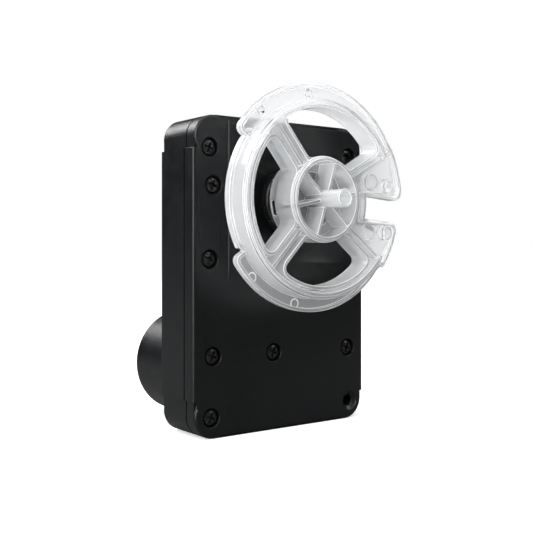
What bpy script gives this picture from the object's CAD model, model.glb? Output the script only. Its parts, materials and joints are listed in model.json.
"""Flat geared drive unit with a clear coupling wheel: the looks, light and camera."""
import json
import math

import bmesh
import bpy
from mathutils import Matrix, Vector


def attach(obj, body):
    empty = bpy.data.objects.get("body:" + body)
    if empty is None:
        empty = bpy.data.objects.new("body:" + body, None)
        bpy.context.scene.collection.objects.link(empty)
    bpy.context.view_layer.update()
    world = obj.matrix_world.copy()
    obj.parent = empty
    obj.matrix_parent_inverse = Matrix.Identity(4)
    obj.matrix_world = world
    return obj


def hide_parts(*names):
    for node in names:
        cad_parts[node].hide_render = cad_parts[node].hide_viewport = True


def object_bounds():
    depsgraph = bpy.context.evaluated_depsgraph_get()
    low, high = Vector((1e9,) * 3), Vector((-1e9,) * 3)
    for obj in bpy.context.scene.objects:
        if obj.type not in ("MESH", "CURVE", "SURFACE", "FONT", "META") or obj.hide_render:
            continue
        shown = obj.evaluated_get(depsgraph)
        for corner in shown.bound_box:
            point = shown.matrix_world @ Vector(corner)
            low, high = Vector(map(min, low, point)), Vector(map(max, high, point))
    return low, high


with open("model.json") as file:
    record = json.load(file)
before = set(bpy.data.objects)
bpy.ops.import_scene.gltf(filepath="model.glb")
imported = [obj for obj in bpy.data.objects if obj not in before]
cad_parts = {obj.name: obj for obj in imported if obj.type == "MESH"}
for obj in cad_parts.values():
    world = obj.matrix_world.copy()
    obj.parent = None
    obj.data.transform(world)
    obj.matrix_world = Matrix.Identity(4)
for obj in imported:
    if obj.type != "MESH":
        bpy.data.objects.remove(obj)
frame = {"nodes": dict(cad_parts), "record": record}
CAD_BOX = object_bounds()
NODES = frame["nodes"]
RECORD = frame["record"]

# ---- Materials ----

MILKINESS = 0.24
EDGE_GLOW = 0.4


class Graph:
    """A material's node tree, with short calls to add to it."""

    def __init__(self, name):
        self.material = bpy.data.materials.new(name)
        self.material.use_nodes = True
        self.tree = self.material.node_tree
        self.shader = self.tree.nodes["Principled BSDF"]
        self.out = self.tree.nodes["Material Output"]
        self.own = self.shader.outputs[0]
        self.where = self.add("ShaderNodeTexCoord").outputs["Object"]

    def add(self, kind, **values):
        node = self.tree.nodes.new(kind)
        for key, value in values.items():
            if key in node.inputs:
                node.inputs[key].default_value = value
            else:
                setattr(node, key, value)
        return node

    def link(self, a, b):
        self.tree.links.new(a, b)

    def set(self, **values):
        for key, value in values.items():
            self.shader.inputs[key.replace("_", " ")].default_value = value

    def noise(self, scale, detail=2.0, rough=0.5, stretch=(1, 1, 1)):
        node = self.add("ShaderNodeTexNoise", Scale=scale, Detail=detail, Roughness=rough)
        if stretch != (1, 1, 1):
            mapping = self.add("ShaderNodeMapping", Scale=stretch)
            self.link(self.where, mapping.inputs["Vector"])
            self.link(mapping.outputs["Vector"], node.inputs["Vector"])
        else:
            self.link(self.where, node.inputs["Vector"])
        return node.outputs["Fac"]

    def ramp(self, source, stops):
        node = self.add("ShaderNodeValToRGB")
        while len(node.color_ramp.elements) < len(stops):
            node.color_ramp.elements.new(0.5)
        for element, (place, colour) in zip(node.color_ramp.elements, stops):
            element.position = place
            element.color = (*colour, 1) if len(colour) == 3 else colour
        self.link(source, node.inputs["Fac"])
        return node.outputs["Color"]

    def span(self, source, low, high, start=0.3, end=0.7):
        node = self.add("ShaderNodeMapRange")
        for key, value in (("From Min", start), ("From Max", end), ("To Min", low), ("To Max", high)):
            node.inputs[key].default_value = value
        self.link(source, node.inputs["Value"])
        return node.outputs["Result"]

    def bump(self, source, height, strength=1.0, after=None):
        node = self.add("ShaderNodeBump", Distance=height, Strength=strength)
        self.link(source, node.inputs["Height"])
        if after:
            self.link(after, node.inputs["Normal"])
        return node.outputs["Normal"]

    def to(self, source, name):
        self.link(source, self.shader.inputs[name])

    def mix(self, first, second, share):
        """Two shaders mixed, with share of the second as a number or a socket."""
        node = self.add("ShaderNodeMixShader")
        if isinstance(share, float):
            node.inputs["Fac"].default_value = share
        else:
            self.link(share, node.inputs["Fac"])
        self.link(first, node.inputs[1])
        self.link(second, node.inputs[2])
        return node.outputs[0]

    def surface(self, source):
        self.link(source, self.out.inputs["Surface"])


def grey(v, cool=0.0):
    return (v, v * (1 + cool * 0.5), v * (1 + cool))


def moulded(name, dark, light, rough, grain=4200, height=0.00003, flow=(1, 1, 1), specular=0.5):
    """Moulded plastic: a fine grain, slow changes of tone and a little variation in gloss."""
    g = Graph(name)
    fine = g.noise(grain, 3, 0.6)
    broad = g.noise(38, 4, 0.55, flow)
    g.to(g.ramp(broad, [(0.3, dark), (0.7, light)]), "Base Color")
    g.to(g.span(g.noise(160, 3), rough - 0.05, rough + 0.06), "Roughness")
    g.to(g.bump(fine, height, after=g.bump(broad, 0.00004, 0.4)), "Normal")
    g.set(IOR=1.5, Specular_IOR_Level=specular)
    return g


def metal(name, dark, light, rough, stretch=(1, 1, 1), scale=300, height=0.00002, metallic=1.0):
    """Metal with a drawn, turned or plated texture."""
    g = Graph(name)
    lines = g.noise(scale, 4, 0.6, stretch)
    g.to(g.ramp(lines, [(0.25, dark), (0.75, light)]), "Base Color")
    g.to(g.span(g.noise(90, 3), rough - 0.06, rough + 0.08), "Roughness")
    g.to(g.bump(lines, height, 0.6), "Normal")
    g.set(Metallic=metallic)
    return g


def clear_plastic(name):
    """Clear, slightly milky polycarbonate with faint flow lines."""
    g = Graph(name)
    flow = g.noise(55, 4, 0.6, (1, 1, 0.35))
    g.to(g.ramp(flow, [(0.3, (0.93, 0.945, 0.955)), (0.7, (0.985, 0.99, 0.995))]), "Base Color")
    g.to(g.span(g.noise(140, 3), 0.1, 0.2), "Roughness")
    g.to(g.bump(g.noise(420, 2), 0.00002, 0.35, after=g.bump(flow, 0.0001, 0.35)), "Normal")
    g.set(IOR=1.46, Transmission_Weight=0.92, Specular_IOR_Level=0.5)
    haze = g.add("ShaderNodeBsdfTranslucent", Color=(0.93, 0.935, 0.945, 1))
    diffuse = g.add("ShaderNodeBsdfDiffuse", Color=(0.92, 0.925, 0.935, 1))
    milk = g.mix(haze.outputs[0], diffuse.outputs[0], 0.5)
    g.surface(g.mix(g.own, milk, MILKINESS))
    return g


def clear_edge(name):
    """The clear plastic's rounded edges, which scatter light and look brighter than its faces."""
    g = Graph(name)
    g.to(g.ramp(g.noise(55, 4, 0.6), [(0.3, grey(0.93)), (0.7, grey(0.99))]), "Base Color")
    g.to(g.span(g.noise(140, 3), 0.16, 0.26), "Roughness")
    g.set(IOR=1.46, Transmission_Weight=0.1)
    glow = g.add("ShaderNodeBsdfTranslucent", Color=(0.97, 0.975, 0.98, 1))
    g.surface(g.mix(g.own, glow.outputs[0], EDGE_GLOW))
    return g


def lamination(name):
    """Stacked steel sheets, seen as fine rings across the axis."""
    g = metal(name, (0.22, 0.22, 0.23), (0.36, 0.36, 0.38), 0.42)
    wave = g.add("ShaderNodeTexWave", Scale=320, Distortion=0.2, bands_direction="Y")
    g.link(g.where, wave.inputs["Vector"])
    g.to(g.bump(wave.outputs["Fac"], 0.0001, 0.8), "Normal")
    return g


def windings(name):
    """Enamelled copper with the ridges of its turns."""
    g = metal(name, (0.42, 0.13, 0.04), (0.62, 0.25, 0.09), 0.3)
    wave = g.add("ShaderNodeTexWave", Scale=260, Distortion=1.5, bands_direction="DIAGONAL")
    g.link(g.where, wave.inputs["Vector"])
    g.to(g.bump(wave.outputs["Fac"], 0.0002, 0.9), "Normal")
    return g


def board(name):
    """Solder mask with a pale net of tracks."""
    g = moulded(name, (0.006, 0.06, 0.022), (0.01, 0.1, 0.035), 0.25, 900)
    brick = g.add("ShaderNodeTexBrick", Scale=170)
    brick.inputs["Mortar Size"].default_value = 0.04
    brick.inputs["Color1"].default_value = (0.006, 0.06, 0.022, 1)
    brick.inputs["Color2"].default_value = (0.01, 0.09, 0.03, 1)
    brick.inputs["Mortar"].default_value = (0.02, 0.16, 0.06, 1)
    g.link(g.where, brick.inputs["Vector"])
    g.to(brick.outputs["Color"], "Base Color")
    return g


FINISH = {
    "black_plastic": moulded("black_plastic", grey(0.0035, 0.3), grey(0.006, 0.3), 0.33, 3600,
                             0.00005, (1, 1, 0.25), 0.42),
    "flange_plastic": moulded("flange_plastic", grey(0.004), grey(0.007), 0.26, 2600),
    "clear_plastic": clear_plastic("clear_plastic"),
    "black_screw": metal("black_screw", grey(0.012), grey(0.03), 0.26, scale=700, metallic=0.35),
    "zinc_steel": metal("zinc_steel", (0.5, 0.51, 0.52), (0.68, 0.69, 0.7), 0.32),
    "ground_steel": metal("ground_steel", (0.55, 0.56, 0.58), (0.72, 0.73, 0.75), 0.2, (1, 0.1, 1), 900),
    "bronze": metal("bronze", (0.36, 0.2, 0.08), (0.5, 0.3, 0.13), 0.42, scale=1500),
    "can_steel": metal("can_steel", (0.4, 0.41, 0.42), (0.56, 0.57, 0.58), 0.34, (1, 0.15, 1), 420),
    "moulded_black": moulded("moulded_black", grey(0.012), grey(0.02), 0.45),
    "ferrite": moulded("ferrite", grey(0.025), grey(0.05), 0.6, 1600, 0.00008),
    "carbon": moulded("carbon", grey(0.012), grey(0.025), 0.5, 2200, 0.00006),
    "tinned_brass": metal("tinned_brass", (0.55, 0.5, 0.38), (0.72, 0.68, 0.56), 0.26, (1, 0.2, 1), 600),
    "circuit_green": board("circuit_green"),
    "capacitor_blue": moulded("capacitor_blue", (0.01, 0.04, 0.2), (0.02, 0.08, 0.32), 0.2, 900),
    "cream_nylon": moulded("cream_nylon", (0.62, 0.57, 0.44), (0.72, 0.68, 0.56), 0.42, 2400),
    "red_lead": moulded("red_lead", (0.35, 0.008, 0.006), (0.5, 0.014, 0.01), 0.38, 1800),
    "white_lead": moulded("white_lead", grey(0.6), grey(0.74), 0.38, 1800),
    "lamination": lamination("lamination"),
    "copper": windings("copper"),
    "brass": metal("brass", (0.58, 0.4, 0.12), (0.75, 0.56, 0.22), 0.22, (1, 0.2, 1), 700),
    "acetal": moulded("acetal", (0.7, 0.68, 0.6), (0.8, 0.78, 0.71), 0.34, 1800),
    "red_plastic": moulded("red_plastic", (0.35, 0.01, 0.008), (0.48, 0.02, 0.014), 0.3, 1800),
}

SLOT_OF = {part["node"]: part["material_slot"] for part in RECORD["subparts"]}
for name, node in NODES.items():
    finish = FINISH[SLOT_OF[name]].material
    for slot in node.material_slots:
        slot.material = finish

# ---- Rounded copies of what shows ----


ROUND = 0.00015
SEAM = 0.000002
BEVEL_ABOVE = math.radians(32)
SHARP_ABOVE = math.radians(30)


def rounded_copy(name, new_name, body, segments=2, edge=None, clamp=False):
    """A copy of a CAD node with its seams joined, its sharp edges rounded and its curves smooth."""
    source = NODES[name]
    mesh = source.data.copy()
    piece = bpy.data.objects.new(new_name, mesh)
    bpy.context.scene.collection.objects.link(piece)
    piece.matrix_world = source.matrix_world.copy()
    bm = bmesh.new()
    bm.from_mesh(mesh)
    bmesh.ops.remove_doubles(bm, verts=bm.verts, dist=SEAM)
    bmesh.ops.dissolve_degenerate(bm, edges=bm.edges, dist=SEAM)
    for face in bm.faces:
        face.smooth = True
    bm.to_mesh(mesh)
    bm.free()
    if mesh.has_custom_normals:
        bpy.context.view_layer.objects.active = piece
        with bpy.context.temp_override(object=piece, active_object=piece, mesh=mesh):
            bpy.ops.mesh.customdata_custom_splitnormals_clear()
    mesh.set_sharp_from_angle(angle=SHARP_ABOVE)
    bevel = piece.modifiers.new("round", "BEVEL")
    bevel.width = ROUND
    bevel.segments = segments
    bevel.limit_method = "ANGLE"
    bevel.angle_limit = BEVEL_ABOVE
    bevel.use_clamp_overlap = clamp
    bevel.miter_outer = "MITER_ARC"
    if edge:
        mesh.materials.append(edge)
        bevel.material = len(mesh.materials) - 1
    else:
        piece.modifiers.new("flat", "WEIGHTED_NORMAL").keep_sharp = True
    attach(piece, body)
    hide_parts(name)


rounded_copy("coupling_wheel", "wheel_clear", "output", 1, clear_edge("clear_edge").material)
rounded_copy("front_cover", "cover_front", "housing")
rounded_copy("rear_case", "case_rear", "housing", clamp=True)

# ---- Floor, light and camera ----

FLOOR_HALF = 6.0
FLOOR_GAP = 0.00005
FLOOR_GLOW = (0.5, 1.0)  # close to the object, and far off
FLOOR_REACH = (0.15, 0.9)
FLOOR_BOUNCE = 0.22
WORLD_DIM = 0.035


def seen_directly(tree):
    """1 for what the eye sees, straight or through clear plastic, and 0 for light and reflections."""
    path = tree.nodes.new("ShaderNodeLightPath")
    either = tree.nodes.new("ShaderNodeMath")
    either.operation = "MAXIMUM"
    tree.links.new(path.outputs["Is Camera Ray"], either.inputs[0])
    tree.links.new(path.outputs["Is Transmission Ray"], either.inputs[1])
    return either.outputs[0]


def stage_material():
    """White to the eye, with a glow that fades towards the object so that its shadow shows."""
    g = Graph("floor_white")
    g.to(g.ramp(g.noise(3, 2), [(0.3, (0.9, 0.9, 0.905)), (0.7, (0.93, 0.93, 0.935))]), "Base Color")
    g.set(Roughness=0.6, Specular_IOR_Level=0.1, Emission_Color=(1, 1, 1, 1))
    away = g.add("ShaderNodeVectorMath", operation="LENGTH")
    g.link(g.where, away.inputs[0])
    g.to(g.span(away.outputs["Value"], *FLOOR_GLOW, *FLOOR_REACH), "Emission Strength")
    dim = g.add("ShaderNodeBsdfDiffuse", Color=(*grey(FLOOR_BOUNCE), 1))
    g.surface(g.mix(dim.outputs[0], g.own, seen_directly(g.tree)))
    return g.material


def floor():
    mesh = bpy.data.meshes.new("floor")
    corners = [(x * FLOOR_HALF, y * FLOOR_HALF, 0) for x, y in ((-1, -1), (1, -1), (1, 1), (-1, 1))]
    mesh.from_pydata(corners, [], [(0, 1, 2, 3)])
    piece = bpy.data.objects.new("floor", mesh)
    bpy.context.scene.collection.objects.link(piece)
    mesh.materials.append(stage_material())
    piece.location.z = CAD_BOX[0].z - FLOOR_GAP


MIDDLE = Vector((0, 0, 0.055))


def softbox(name, place, size, power):
    data = bpy.data.lights.new(name, "AREA")
    data.shape = "RECTANGLE"
    data.size, data.size_y = size
    data.energy = power
    light = bpy.data.objects.new(name, data)
    bpy.context.scene.collection.objects.link(light)
    light.location = place
    light.rotation_euler = (MIDDLE - Vector(place)).to_track_quat("-Z", "Y").to_euler()


def surroundings():
    """White to the eye and through the clear plastic, and dim to every reflection."""
    world = bpy.data.worlds.new("studio")
    bpy.context.scene.world = world
    world.use_nodes = True
    tree = world.node_tree
    back = tree.nodes["Background"]
    level = tree.nodes.new("ShaderNodeMapRange")
    level.inputs["To Min"].default_value = WORLD_DIM
    level.inputs["To Max"].default_value = 1.0
    tree.links.new(seen_directly(tree), level.inputs["Value"])
    back.inputs["Color"].default_value = (1, 1, 1, 1)
    tree.links.new(level.outputs["Result"], back.inputs["Strength"])


floor()
surroundings()
softbox("key", (-0.3, -0.6, 0.75), (0.4, 0.4), 3)
softbox("left_strip", (-0.8, -0.25, 0.3), (0.45, 0.9), 10)
softbox("fill", (0.6, -0.5, 0.7), (0.5, 0.5), 3)
softbox("top", (0.0, 0.15, 0.9), (0.6, 0.6), 3)
softbox("back", (-0.35, 0.75, 0.7), (0.5, 0.4), 7)

EYE = (-0.18067, -0.24461, 0.06215)
TURN = math.radians(36.4615)
camera_data = bpy.data.cameras.new("camera")
camera_data.sensor_width = 36
camera_data.lens = 58.31
camera_data.shift_y = -0.0368
camera_data.clip_start = 0.01
camera = bpy.data.objects.new("camera", camera_data)
bpy.context.scene.collection.objects.link(camera)
camera.location = EYE
camera.rotation_euler = Vector((math.sin(TURN), math.cos(TURN), 0)).to_track_quat("-Z", "Y").to_euler()
bpy.context.scene.camera = camera
bpy.context.scene.view_settings.view_transform = "Standard"
